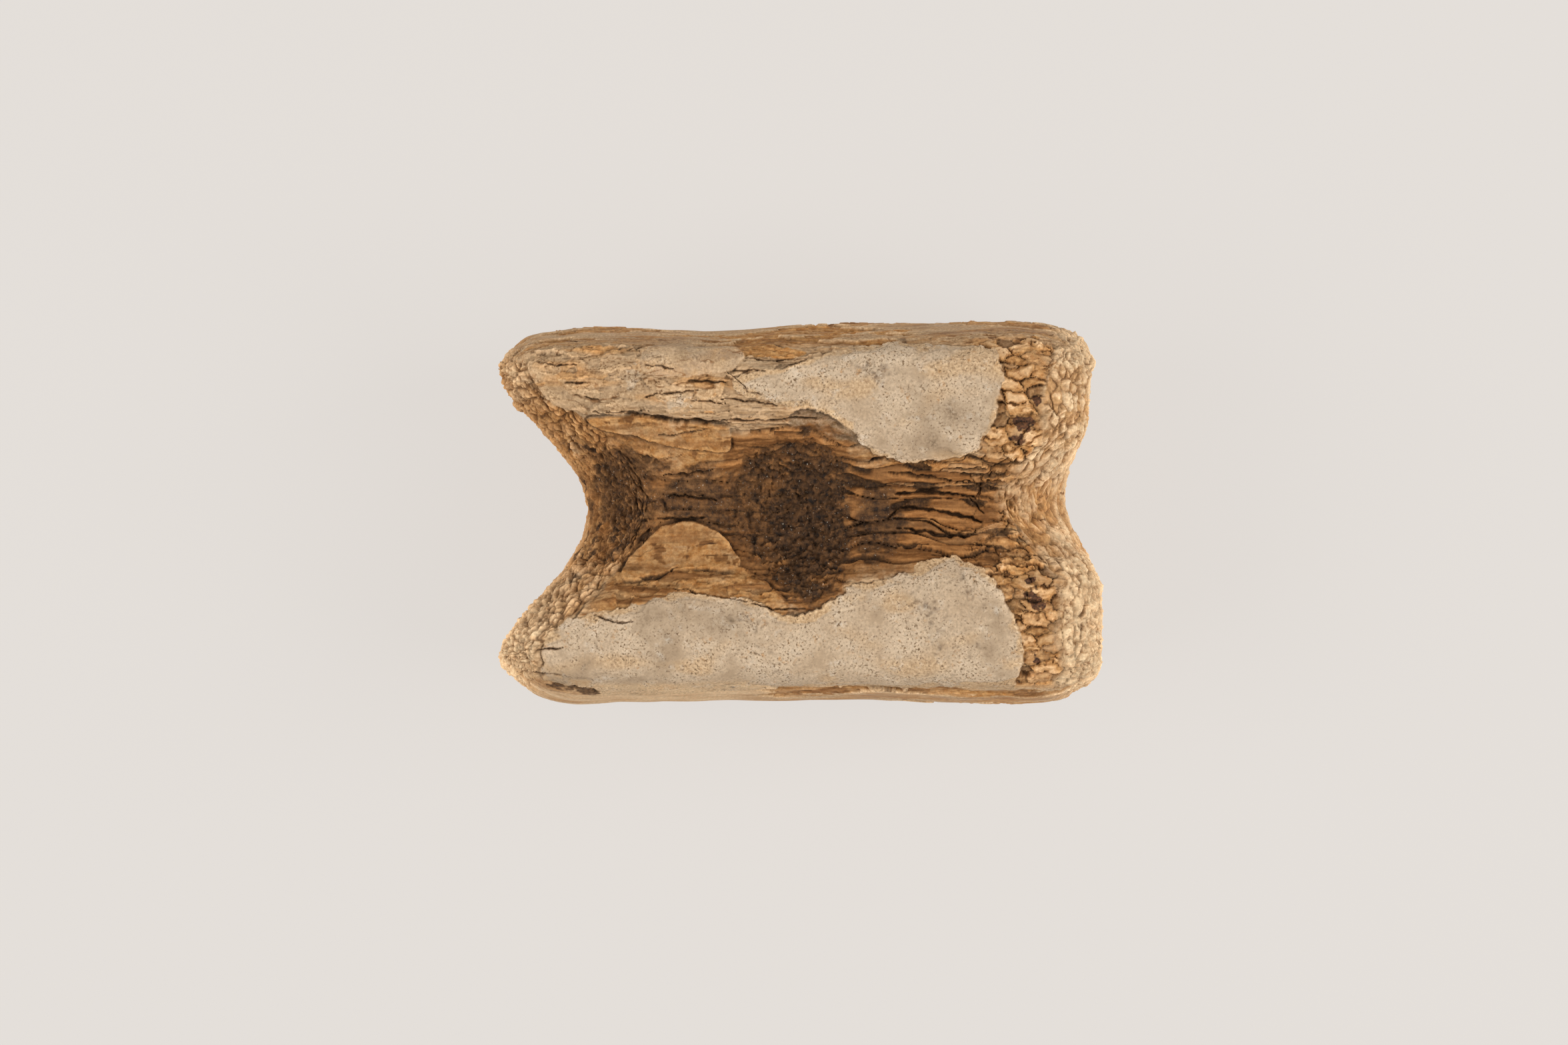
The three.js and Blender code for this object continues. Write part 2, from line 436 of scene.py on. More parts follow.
crevice = np.maximum(crevice, fine_share * fine_crevice) * (1 - 0.55 * low_blunt)
knobs = mix(0.34, 0.18, on_face) * big_lump + mix(0.44, 0.16, on_face) * lump
knobs += mix(0.26, 0.08, on_face) * ramp(0, 0.5, lump_border)
knobs += (0.05 + 0.20 * split_up * (1 - 0.6 * on_face) + 0.12 * on_slope) * bit
rows = wave(jostled, (0.8, 3.6, 1.5), 68)
knobs += on_slope * (0.20 * rows + 0.16 * ramp(0, 0.3, bit_border))

# The faces: low billows, and ridges that run from the middle out to the rim.
from_middle = at_rim[:, 1:] - (0, HALF[2])
span = np.maximum(np.linalg.norm(from_middle, axis=1), 0.5)
ray = np.column_stack([span * 0.12, from_middle / span[:, None] * 14])
rays = (0.20 * wave(ray, 1.7, 265) + 0.14 * wave(ray, 0.7, 266)) * ramp(2, 8, span)
billows = 0.40 * np.abs(wave(jostled, 3.4, 260)) + 0.18 * np.abs(wave(jostled, 1.3, 261))
knobs += on_face * (rays + billows) - 0.12
rim_tone = mix(0.25 * big_own[1] + 0.5 * lump_own[1] + 0.25 * bit_own[1], 0.5, 0.6 * on_face)
rim_tone += 0.8 * low_blunt + 0.15 - 0.3 * middle_end + 0.65 * low_lobe
holes = 1 - ramp(0.12, 0.32, crumbs(jostled, (1.6, 1.8, 1.7), 71)[0])
holes *= ramp(0.0, 0.5, wave(at_rim, 3.5, 73))
pores = (1 - ramp(0.1, 0.32, crumbs(jostled, (0.9, 0.8, 0.8), 262)[0])) * on_face
pores *= ramp(-0.3, 0.3, wave(at_rim, 2.5, 263))
holes = np.maximum(holes, 0.7 * pores)
knobs += 0.04 * wave(at_rim, 0.3, 70) + 0.16 * wave(at_rim, 3.1, 74)
knobs += 0.55 * ramp(22, 30, at_rim[:, 0]) * ramp(13, 19, at_rim[:, 1])
rim_relief = np.zeros(point_count)
rim_relief[near_rim] = knobs - mix(0.16, 0.22, on_slope) * crevice - 0.30 * holes - 0.40
colour_layers["tone"][near_rim] = mix(colour_layers["tone"][near_rim], rim_tone, rim_amount)
lobe = ramp(10.5, 15, off_middle + 1.5 * wave(at_rim, 3, 79))
lobe *= np.maximum(facing_up[near_rim], ramp(15, 18, off_middle))
# Inside the notch the rim is painted browner and darker in its creases, with less chalk: painted shade.
shadier = at_notch * (1 - 0.85 * lobe) * (0.35 + 0.65 * ramp(-8, 1, at_rim[:, 1]))
pale_knob = ramp(-0.25, 0.3, knobs + 0.2 * wave(at_rim, 2.5, 75) + 0.3 * (lump_own[0] - 0.5))
chalky = mix(0.36 + 0.6 * pale_knob, 0.4 + 0.6 * low_lobe, 0.6 * on_slope) * (1 - 0.6 * shadier)
chalky *= (1 - 0.35 * on_face) * (1 - 0.45 * middle_end)
lay("cream", rim_amount * chalky, near_rim)
mottle = wave(at_rim, (2.6, 1.5, 2), 276) + 0.6 * wave(at_rim, 0.8, 277)
lay("cream", 0.85 * rim_amount * low_blunt * ramp(-0.6, -0.1, knobs), near_rim)
in_from_end = middle_end * ramp(29, 22, at_rim[:, 0])
lay("brown", 0.85 * rim_amount * in_from_end * ramp(-0.2, 0.5, mottle), near_rim)
in_from_end = middle_end * ramp(27, 21, at_rim[:, 0])
lay("soil_and_shade", 0.6 * rim_amount * in_from_end * ramp(0.4, 0.8, mottle), near_rim)
lay("ochre", rim_amount * (1 - 0.35 * pale_knob), near_rim)
lay("brown", rim_amount * np.maximum(mix(0.44, 0.95, shadier) * crevice, 0.7 * holes), near_rim)
lay("brown", rim_amount * shadier * 0.5 * ramp(-0.2, 0.8, wave(at_rim, (2.5, 4, 3), 78)), near_rim)
lay("soil_and_shade", 0.45 * rim_amount * shadier * crevice * ramp(-0.2, 0.4, wave(at_rim, 2.6, 267)), near_rim)
lay("soil_and_shade", 0.6 * rim_amount * ramp(0.2, 0.8, wave(at_rim, 4, 76)) * ramp(0.3, -0.1, knobs)
    * on_face, near_rim)
lay("grey", 0.4 * rim_amount * ramp(0.2, 0.6, wave(at_rim, 2.2, 77)), near_rim)

relief += mix(wall_relief * (1 - facing_up), rim_relief, rim)

# ----------------------------------------------------------------------------------------
# The two ridges: the stumps of the neural arch, each with one large plate of dense outer
# bone on it, broken ragged round its edge, over coarser layers that run along the ridge.

PLATES = {
    "upper": ((-7.7, 14.4), (-5.8, 15.1), (-2.1, 15.8), (2.1, 17.2), (5.4, 18.1), (10.0, 18.8),
              (14.7, 18.6), (20.7, 18.1), (21.6, 16.9), (22.2, 15.1), (21.8, 12.3), (21.2, 10.0),
              (20.0, 8.1), (18.9, 6.5), (16.1, 5.6), (12.4, 5.4), (9.1, 6.0), (6.8, 7.2),
              (6.1, 8.3), (4.4, 10.0), (3.0, 10.7), (0.3, 11.3), (-3.0, 11.9), (-5.8, 12.8)),
    "lower": ((-27.4, -13.2), (-25.3, -11.8), (-21.1, -10.7), (-16.9, -9.7), (-14.6, -8.9),
              (-11.8, -8.6), (-8.5, -9.1), (-5.8, -9.4), (-3.9, -10.2), (-2.1, -11.0),
              (0.3, -10.9), (2.1, -10.4), (4.0, -9.3), (5.4, -8.1), (7.7, -7.7), (10.5, -6.8),
              (12.4, -6.5), (12.8, -5.8), (14.2, -5.0), (16.1, -4.6), (18.4, -5.1), (20.2, -6.3),
              (21.6, -8.1), (22.8, -10.5), (24.0, -12.8), (24.4, -14.6), (24.2, -16.9),
              (23.5, -18.8), (22.6, -20.0), (19.3, -19.5), (12.4, -19.6), (5.4, -20.0),
              (-3.9, -21.2), (-15.5, -21.4), (-20.4, -21.2), (-22.5, -19.7), (-26.2, -18.8),
              (-28.4, -17.8), (-28.0, -16.8), (-28.3, -15.2)),
    "sheet": ((-17.2, 15.4), (-14.0, 14.8), (-10.5, 15.0), (-7.4, 15.6), (-6.0, 17.4),
              (-9.0, 19.0), (-14.0, 19.2), (-17.0, 18.0)),
    "tongue": ((-19.6, -6.0), (-17.4, -3.6), (-15.8, -1.9), (-14.1, -1.2), (-11.6, -1.1),
               (-9.5, -1.9), (-8.3, -2.9), (-7.0, -4.4), (-6.5, -5.5), (-8.2, -6.2),
               (-10.6, -5.9), (-13.5, -6.3), (-17.2, -7.1), (-19.4, -7.4)),
    "ledge": ((-20.5, -6.8), (-17.2, -6.6), (-13.5, -5.6), (-10.5, -5.3), (-8.0, -5.5),
              (-5.8, -5.9), (-4.0, -7.0), (-2.2, -8.8), (-1.2, -10.2), (-2.4, -11.2),
              (-8.5, -9.9), (-11.8, -9.4), (-16.9, -10.4), (-21.0, -11.4), (-24.5, -11.6)),
    "apron": ((-31.5, -14.5), (-29.5, -10.6), (-26.6, -7.6), (-24.0, -5.6), (-21.5, -4.9),
              (-19.4, -5.2), (-18.0, -6.2), (-18.4, -8.0), (-20.5, -10.6), (-24.5, -12.2),
              (-28.5, -14.0)),
    "flake": ((-7.2, 18.2), (-5.0, 18.9), (-2.0, 18.5), (0.9, 17.8), (-1.2, 17.1), (-4.6, 17.3),
              (-6.4, 17.2)),
    "shelf": ((-23.1, 10.2), (-18.5, 10.4), (-13.0, 9.8), (-8.3, 9.4), (-7.7, 9.0),
              (-7.6, 7.2), (-8.0, 6.7), (-10.6, 6.8), (-14.0, 7.2), (-16.5, 7.7),
              (-18.8, 8.4), (-21.2, 8.8), (-22.9, 9.4)),
    "step": ((-22.0, 8.6), (-17.5, 7.6), (-12.0, 6.9), (-9.0, 6.4), (-8.7, 5.3), (-11.5, 4.6),
             (-15.2, 4.2), (-14.4, 5.3), (-17.6, 5.8), (-19.0, 6.6)),
    "pit": ((-7.6, 7.3), (-4.9, 7.9), (-0.5, 8.2), (2.4, 7.7), (4.3, 6.8), (5.0, 4.0),
            (4.9, 0.5), (5.6, -3.0), (5.6, -6.0), (3.5, -8.8), (1.2, -10.3), (-0.5, -9.3),
            (-3.4, -7.3), (-6.8, -5.1), (-8.2, -3.2), (-8.8, -1.0), (-8.6, 2.0), (-8.2, 5.0)),
    "hollow": ((-1.2, 10.4), (0.6, 11.2), (3.4, 10.6), (5.0, 9.2), (6.6, 7.3), (5.2, 7.0),
               (2.6, 7.9), (0.2, 8.6)),
}
PLAN_STEP = 0.25
plan_x = np.arange(-36, 36 + PLAN_STEP, PLAN_STEP)
plan_y = np.arange(-24, 24 + PLAN_STEP, PLAN_STEP)


def rounded_outline(corners, pieces=6):
    """A closed Catmull-Rom curve through the corners, as short straight pieces."""
    p1 = np.array(corners)
    p0, p2, p3 = (np.roll(p1, shift, axis=0)[:, None] for shift in (1, -1, -2))
    p1 = p1[:, None]
    t = (np.arange(pieces) / pieces)[None, :, None]
    curve = 2 * p1 + (p2 - p0) * t + (2 * p0 - 5 * p1 + 4 * p2 - p3) * t ** 2
    curve += (3 * p1 - p0 - 3 * p2 + p3) * t ** 3
    return curve.reshape(-1, 2) / 2


def to_segment(px, py, start, end):
    """Distance from points to a straight piece, and how far along it the foot lies, 0 to 1."""
    across = end - start
    along = ((px - start[0]) * across[0] + (py - start[1]) * across[1]) / (across @ across)
    along = np.clip(along, 0, 1)
    return np.hypot(px - start[0] - along * across[0], py - start[1] - along * across[1]), along


def inside_distance(px, py, corners):
    """How far inside the rounded outline a plan point lies, negative outside: worked out on
    a plan grid by distance and by counting crossings, then read off between its nodes."""
    gx, gy = np.meshgrid(plan_x, plan_y, indexing="ij")
    curve = rounded_outline(corners)
    distance = np.full(gx.shape, 99.0)
    inside = np.zeros(gx.shape, dtype=bool)
    for start, end in zip(curve, np.roll(curve, -1, axis=0)):
        distance = np.minimum(distance, to_segment(gx, gy, start, end)[0])
        spans = (start[1] > gy) != (end[1] > gy)
        rise = end[1] - start[1] if end[1] != start[1] else 1
        inside ^= spans & (gx < start[0] + (gy - start[1]) * (end[0] - start[0]) / rise)
    signed = np.where(inside, distance, -distance)
    u = np.clip((px - plan_x[0]) / PLAN_STEP, 0, len(plan_x) - 1.001)
    v = np.clip((py - plan_y[0]) / PLAN_STEP, 0, len(plan_y) - 1.001)
    iu, iv = u.astype(int), v.astype(int)
    fu, fv = u - iu, v - iv
    low_side = mix(signed[iu, iv], signed[iu + 1, iv], fu)
    high_side = mix(signed[iu, iv + 1], signed[iu + 1, iv + 1], fu)
    return mix(low_side, high_side, fv)


def spot_depth(px, py, centre, reach):
    """1 at the centre of an ellipse, falling evenly to 0 on its outline, negative outside."""
    return 1 - np.hypot((px - centre[0]) / reach[0], (py - centre[1]) / reach[1])


top = np.flatnonzero(facing_up > 0)
plan = form[top]
tx, ty = plan[:, 0], plan[:, 1]
frayed_x = tx + 0.42 * wave(plan, 1.9, 80) + 0.22 * wave(plan, 0.7, 81) + 0.10 * wave(plan, 0.3, 84)
frayed_y = ty + 0.36 * wave(plan, 1.9, 82) + 0.20 * wave(plan, 0.7, 83) + 0.10 * wave(plan, 0.3, 85)
inside = {}
for name, corners in PLATES.items():
    fray = 1.0 if name in ("upper", "lower", "pit", "hollow", "apron", "step") else 0.45
    inside[name] = inside_distance(mix(tx, frayed_x, fray), mix(ty, frayed_y, fray), corners)
top_rim = rim[top]

# Coarse layers show wherever no plate lies. They step down into the canal.
coarse, coarse_tread, coarse_foot = layered(plan, (13.0, 2.4, 2.4), 90, levels=2.6)
thin, thin_tread, thin_foot = layered(plan, (9.0, 2.6, 2.6), 86, levels=3.4)
flaked = ragged(plan, 0.5, 2.2, 200)
big_chip, big_border, big_way, big_own = chips(flaked, (4.2, 2.1, 3.0), 206)
small_chip, small_border, small_way, small_own = chips(flaked, (2.0, 0.95, 1.4), 208)
fine_grain = 0.6 * wave(plan, (5, 0.5, 0.9), 94) + 0.4 * wave(plan, (1.8, 0.26, 0.5), 95)
hair_line = np.abs(wave(plan, (5.5, 0.9, 1.5), 97) + 0.15 * wave(plan, (1.2, 0.5, 0.8), 98))
hair_split = (1 - ramp(0.01, 0.09, hair_line)) * ramp(0.1, 0.5, wave(plan, (4, 2, 2), 99))
on_ridge = ramp(10.6, 12.4, ty + 0.8 * wave(plan, 3, 108)) * ramp(-4, -9, tx)
on_flank = ramp(17.8, 19.6, np.abs(ty) + 0.7 * wave(plan, (6, 2, 2), 109))
ground = mix(0.40 * coarse + 0.30 * big_chip + 0.20 * small_chip - 0.2,
             0.42 * thin + 0.56 * big_chip + 0.28 * small_chip, on_ridge)
# Dark lines along the chips' long borders: dark seams, and painted shadow under the flake edges.
chip_seam_and_shadow = (1 - ramp(0.02, 0.13, big_border)) * ramp(0.5, 0.9, big_way)
small_edge = (1 - ramp(0.02, 0.09, small_border)) * ramp(0.5, 0.9, small_way)
chip_seam_and_shadow = np.maximum(chip_seam_and_shadow, 0.7 * small_edge)
chip_seam_and_shadow *= ramp(-0.2, 0.5, wave(plan, 1.9, 212))
ground += 0.05 * fine_grain + 0.05 * rough(plan, 0.7, 96, octaves=2) - 0.2 * hair_split
colour_layers["tone"][top] = mix(0.4 * coarse_tread + 0.3 * big_own[1] + 0.3 * small_own[1],
                          0.3 * thin_tread + 0.4 * big_own[1] + 0.3 * small_own[1], on_ridge)
# At the foot of each riser the ground dips a little and is painted brown and dark: painted shadow under
# the layer's edge.
foot = np.maximum(thin_foot * on_ridge, 0.8 * coarse_foot) * ramp(-0.3, 0.3, wave(plan, 2.4, 273))
ground -= 0.06 * foot
lay("brown", np.maximum.reduce([0.7 * hair_split, 0.75 * chip_seam_and_shadow, 0.75 * foot]), top)
lay("crack_and_shadow", 0.5 * foot * ramp(0.0, 0.5, wave(plan, (2, 1.2, 1.5), 274)), top)
lay("crack_and_shadow", (0.65 + 0.3 * on_ridge) * chip_seam_and_shadow * ramp(0.0, 0.4, wave(plan, (3, 1.5, 2), 219)), top)
lay("ochre", 0.75 * ramp(0.35, 0.9, coarse_tread) * (1 - on_ridge), top)
lay("tan_edge", 0.45 * on_ridge * (0.5 + small_own[2]), top)
lay("ochre", 0.8 * on_ridge * ramp(-0.1, 0.6, wave(plan, (6, 1.6, 3), 78) + 0.5 * (big_own[2] - 0.5)),
    top)
lay("grey", 0.45 * ramp(0.1, 0.6, wave(plan, (5, 1.6, 3), 106)), top)
lay("brown", 0.35 * on_flank * ramp(-0.3, 0.5, wave(plan, (9, 0.7, 0.7), 79)), top)
lay("ochre", 0.9 * on_flank, top)

# Two chalky spots on the upper ridge: centre, and reach along and across.
CHALK = (((-18.2, 14.3), (1.3, 1.9)), ((-13.0, 11.9), (2.3, 1.1)))
for centre, reach in CHALK:
    depth = spot_depth(tx, ty, centre, reach)
    depth += 0.7 * wave(plan, 1.1, 105) + 0.5 * wave(plan, 0.4, 218)
    lay("plate", 0.95 * ramp(0.0, 0.6, depth), top)

# The plates, each in two sheets: the upper sheet stops about 1 mm short of the lower one.
LOWER_SHEET, UPPER_SHEET, SETBACK = 0.05, 0.09, 0.9
pale = np.maximum(inside["upper"], inside["lower"])
second_layer = pale - SETBACK - 1.3 * wave(plan, (3.0, 1.6, 2.0), 100)
felt = 0.6 * wave(plan, 0.42, 101) + 0.4 * wave(plan, 0.22, 102)
plate_top = LOWER_SHEET + UPPER_SHEET * ramp(0, 0.12, second_layer) + 0.014 * felt
plate_top += 0.05 * wave(plan, 5, 103)
plate_top -= 0.05 * ramp(0.45, 0.8, wave(plan, 0.9, 107)) + 0.03 * np.abs(wave(plan, 1.6, 88))
plate_share = ramp(-0.07, 0.07, pale)
colour_layers["tone"][top] = mix(colour_layers["tone"][top], 0.5, plate_share)
low_edge = ramp(-18.7, -20.4, ty + 0.5 * wave(plan, (4, 1.2, 1.2), 87))
lay("plate", plate_share * (1 - 0.6 * top_rim) * (1 - 0.6 * low_edge), top)
for name in ("brown", "crack_and_shadow", "grey"):
    colour_layers[name][top] *= 1 - 0.9 * plate_share
shadow_line = ramp(-0.34, -0.10, pale) * (1 - plate_share) * ramp(-0.35, 0.3, wave(plan, 2.3, 89))
shadow_line *= 1 - 0.25 * ramp(16, 20, tx)
lay("crack_and_shadow", 0.55 * shadow_line, top)
lay("tan_edge", plate_share * (1 - ramp(0.1, 1.1, second_layer + 1.0)), top)
lay("ochre", 0.4 * plate_share * (1 - ramp(0.0, 0.8, second_layer + 0.6)), top)
lay("ochre", plate_share * low_edge, top)
lay("tan_edge", 0.55 * plate_share * low_edge, top)
lay("cream", 0.7 * low_edge * ramp(0.3, -0.3, wave(plan, (6, 0.6, 0.6), 264)), top)
ground = mix(ground - 0.25 * shadow_line, plate_top, plate_share)

smudge = ramp(0.0, 0.7, wave(plan, (3.2, 2.2, 2), 213) + 0.6 * wave(plan, 0.9, 214))
smudge *= ramp(-0.3, 0.4, wave(plan, 7, 215)) * plate_share * ramp(0.3, 2, pale)
lay("soil_and_shade", smudge * (0.38 + 0.30 * wave(plan, 0.5, 268)), top)
lay("tan_edge", 0.65 * plate_share * ramp(0.1, 0.7, wave(plan, (6, 3, 3), 216)), top)

sheet_share = ramp(-0.08, 0.08, inside["sheet"])
sheet_top = 0.08 + 0.05 * wave(plan, (4, 1.5, 2), 104) + 0.012 * felt
ground = mix(ground, sheet_top, sheet_share)
lay("plate", 0.5 * sheet_share, top)
# Below the edges of the sheet and the flake the ground dips and is painted dark: painted shadow.
for name in ("sheet", "flake"):
    shadow_under_edge = ramp(-0.4, -0.05, inside[name]) * (1 - ramp(-0.05, 0.05, inside[name]))
    shadow_under_edge *= ramp(-0.1, 0.4, wave(plan, 1.7, 217)) * ramp(-13, -7, tx)
    ground -= 0.35 * shadow_under_edge
    lay("crack_and_shadow", 0.6 * shadow_under_edge, top)
lay("ochre", 1.2 * ramp(-0.05, 0.1, inside["flake"]), top)

# ----------------------------------------------------------------------------------------
# The canal between the ridges. Its floor has parted into planks with dark gaps, a tan
# tongue and a shelf lie over its notched end, and soil still fills the vessel's pit.

canal_floor = canal_depth(tx, ty) - RIDGE_DROP * (1 - ramp(-HALF[0], 0, tx))
in_canal = ramp(0.35, 1.3, canal_floor + 0.5 * wave(plan, (3, 1.2, 2), 110))
clods = 0.5 * wave(plan, 1.5, 121) + 0.35 * wave(plan, 0.7, 122) + 0.25 * wave(plan, 0.33, 123)
swayed = plan.copy()
swayed[:, 1] += 0.9 * wave(plan, (6, 3.4, 6), 111) + 0.14 * wave(plan, (2.2, 0.9, 2), 112) + 0.04 * tx
swayed[:, 2] = 0
plank_chip, border, lengthwise, own = chips(swayed, (26.0, 1.8, 3.0), 114)
splinter, splinter_border, splinter_way, splinter_own = chips(swayed, (8.0, 0.75, 1.6), 210)
THIN_GAP, WIDE_GAP, GAP_DEPTH, PLANK_DROP = 0.03, 0.36, 0.50, 0.45
lens = THIN_GAP + WIDE_GAP * ramp(-0.1, 0.8, wave(plan, (3.6, 1.4, 3), 116)) * ramp(0.7, 0.95, lengthwise)
lens *= ramp(-16, 4, tx)
plank_split = 1 - ramp(0.5, 1.25, border / np.maximum(lens, 0.002))
planks = mix(0.55, 0.75, ramp(-8, 6, tx)) * plank_chip + 0.10 * splinter + 0.22 * ramp(0, 0.4, border)
planks += 0.16 * wave(plan, (4, 0.8, 2), 117) + 0.05 * fine_grain
planks += 0.06 * wave(plan, (0.9, 0.3, 0.5), 118) - GAP_DEPTH * plank_split - PLANK_DROP
plank_place = in_canal * (1 - 0.8 * top_rim) * (1 - plate_share)
ground = mix(ground, planks, plank_place)
colour_layers["tone"][top] = mix(colour_layers["tone"][top], 0.6 * own[1] + 0.4 * splinter_own[1], plank_place)
lay("brown", plank_place * (0.45 + 0.55 * own[2]) * ramp(25.5, 20, tx), top)
lay("ochre", plank_place * (0.45 + 0.4 * splinter_own[2]), top)
lay("brown", 0.6 * plank_place * (1 - ramp(0.03, 0.14, splinter_border)) * splinter_way, top)
lay("crack_and_shadow", 0.75 * plank_place * plank_split, top)

EDGE_TURN = 0.75
edge_way = np.where(ty > -1, -EDGE_TURN, EDGE_TURN)
turned = plan.copy()
turned[:, 0] = tx * np.cos(edge_way) + ty * np.sin(edge_way)
turned[:, 1] = ty * np.cos(edge_way) - tx * np.sin(edge_way)
ridging = 0.6 * wave(turned, (3.2, 0.8, 1.2), 130) + 0.35 * wave(turned, (1.4, 0.45, 0.7), 131)
stripes = 0.7 * wave(plan, (9, 0.9, 3), 270) + 0.4 * wave(plan, (5, 0.4, 2), 271)
shreds = 0.28 * clods + 0.22 * wave(plan, (3.5, 1.6, 2.5), 124)
blots = 0.55 * wave(plan, (2.4, 1.2, 2), 125) + 0.9 * clods
tan_layer = 0.10 * coarse + 0.14 * big_chip + 0.06 * small_chip + 0.04 * fine_grain
tan_layer += 0.18 * wave(plan, (4, 2, 2), 119) + 0.05 * wave(plan, 0.8, 128) - 0.2 * hair_split

# Each tan layer's name, lift, layering, browning by stripes and by blots, and ochre.
tan_layers = (
    ("apron", 0.0, 0.2 * ridging + 0.25 * small_chip, 0.3, 0.75, 0.8),
    ("step", -0.10, 0.3 * big_chip + 0.35 * small_chip, 0.6, 0.9, 1.0),
    ("ledge", -0.10, 0.25 * stripes + 0.3 * big_chip + 0.25 * small_chip, 0.9, 0.85, 1.0),
    ("tongue", 0.10, 0.06 * stripes, 0.6, 0.9, 0.9),
    ("shelf", 0.22, 0.16 * small_chip + 0.10 * stripes, 0.6, 0.85, 0.9),
)
for name, lift, layering, striping, blotting, yellow in tan_layers:
    crisp = name not in ("apron", "step")
    softness = 0.08 if crisp else 0.5
    share = ramp(-softness, softness, inside[name]) * (1 - plate_share) * (1 - top_rim)
    # Along each layer's edge the colour is lightened: a painted highlight.
    edge_highlight = share * (1 - ramp(0, 0.5, inside[name])) * ramp(-0.3, 0.4, wave(plan, 2.1, 272))
    if crisp:
        # Below a crisp layer's edge the ground dips and is painted dark: painted shadow.
        below = ramp(-0.55, -0.1, inside[name]) * (1 - share) * (1 - plate_share)
        below *= ramp(-0.5, 0.1, wave(plan, 2.6, 275))
        ground -= 0.30 * below
        lay("crack_and_shadow", 0.6 * below, top)
    ground = mix(ground, lift + tan_layer + layering, 0.95 * share)
    for dark in ("brown", "crack_and_shadow"):
        colour_layers[dark][top] *= 1 - 0.95 * share
    colour_layers["tone"][top] = mix(colour_layers["tone"][top], 0.3 * big_own[1] + 0.15 * small_own[1], share)
    lay("ochre", share * yellow * (0.75 + 0.4 * wave(plan, (3, 1.4, 2), 120)), top)
    lay("brown", share * blotting * ramp(0.22, 0.50, blots), top)
    lay("brown", share * striping * ramp(-0.1, 0.4, stripes), top)
    lay("brown", share * 0.6 * chip_seam_and_shadow, top)
    lay("crack_and_shadow", share * 0.6 * (chip_seam_and_shadow * striping + hair_split) * ramp(-0.2, 0.3, stripes), top)
    lay("brown", share * 0.9 * hair_split, top)
    lay("tan_edge", 0.5 * edge_highlight * (1 - striping), top)
    if name == "apron":
        lay("cream", 0.6 * share * ramp(-19, -25, tx + 4 * shreds), top)

# A step between the upper plate and the pit, broken in shells and greyed.
share = ramp(-0.08, 0.08, inside["hollow"]) * (1 - plate_share)
shell = np.abs(wave(plan, (2.2, 1.6, 2), 126))
ground = mix(ground, 0.6 * shell - 0.7 + 0.25 * small_chip, share)
lay("grey", share, top)
lay("brown", 0.42 * share, top)
lay("brown", 0.5 * share * ramp(0.15, 0.0, shell), top)

# Earth in the pit and in the hollows beside it, where no layer of bone covers them.
dry_layers = np.maximum.reduce([inside["tongue"], inside["shelf"], pale + 0.1,
                                inside["step"] - 0.5, inside["apron"] - 0.6, inside["ledge"] - 0.3])
free = ramp(0.25, -0.2, dry_layers)
grit, _, _, grit_own = chips(ragged(plan, 0.2, 0.9, 220), (0.6, 0.5, 0.5), 127)
spongy = 0.38 * clods + 0.50 * grit + 0.45 * np.abs(wave(plan, (1.6, 1.2, 1), 129)) - 0.65
in_pit = ramp(-0.5, mix(3.6, 1.3, ramp(-7, -2, tx)), inside["pit"] + 1.6 * shreds)
ground = mix(ground, spongy, in_pit * free)
lay("brown", ramp(-1.6, 0.2, inside["pit"] + 1.5 * shreds) * free, top)
lay("soil_and_shade", in_pit * free * (0.55 + 0.35 * wave(plan, (3, 2, 2), 226) + 0.4 * (grit_own[2] - 0.5)), top)
colour_layers["tone"][top] = mix(colour_layers["tone"][top], grit_own[1], in_pit * free)

# Beds of earth: centre, reach along and across, and strength.
SOIL_BEDS = (((0.9, -1.4), (6.2, 10.0), 1.0), ((-19.2, 2.4), (5.6, 7.0), 0.62),
             ((8.2, -1.5), (4.0, 5.2), 0.75), ((-12.0, 1.6), (6.0, 4.8), 0.68),
             ((-5.6, 0.6), (4.6, 6.8), 0.62))
for centre, reach, strength in SOIL_BEDS:
    depth = spot_depth(tx, ty, centre, reach)
    share = ramp(0.0, 0.5, depth + 1.3 * shreds) * free * strength
    ground = mix(ground, np.minimum(ground, 0.2) + 0.30 * clods - 0.12, 0.7 * share)
    lay("soil_and_shade", share, top)
    lay("brown", ramp(-0.3, 0.2, depth + 0.9 * shreds) * free * strength, top)

# The waist of the notch: spongy bone, with fibres that follow the notch's own edge.
THROAT_CENTRE, THROAT_REACH = (-23.0, -0.2), (9.5, 11.5)
throat = spot_depth(tx, ty, THROAT_CENTRE, THROAT_REACH)
throat = ramp(0.0, 0.35, throat + 0.5 * shreds) * free
turned = ragged(turned, 0.3, 1.4, 230)
cavern, border, _, own = chips(turned, (2.2, 0.95, 1.2), 132)
caverns = ramp(0.70, 0.74, own[2]) * ramp(0, 0.2, border)
hollowed = 0.40 * ridging + 0.22 * clods + 0.50 * cavern + 0.30 * grit - 0.5 * caverns - 0.2
ground = mix(ground, hollowed, throat)
colour_layers["tone"][top] = mix(colour_layers["tone"][top], own[1], throat)
lay("ochre", 0.9 * throat, top)
lay("brown", 0.45 * throat * ramp(-4, -7, ty) * ramp(-0.3, 0.3, ridging), top)
lay("brown", 0.85 * throat * ramp(-27.0, -22.5, tx + 3 * shreds) * (0.5 + own[0] / 2), top)
lay("soil_and_shade", 0.8 * throat * ramp(0.1, -0.4, ridging + 0.5 * clods) * ramp(-24.5, -20, tx)
    * ramp(-5.5, -1.5, ty), top)
lay("soil_and_shade", 0.7 * throat * caverns, top)

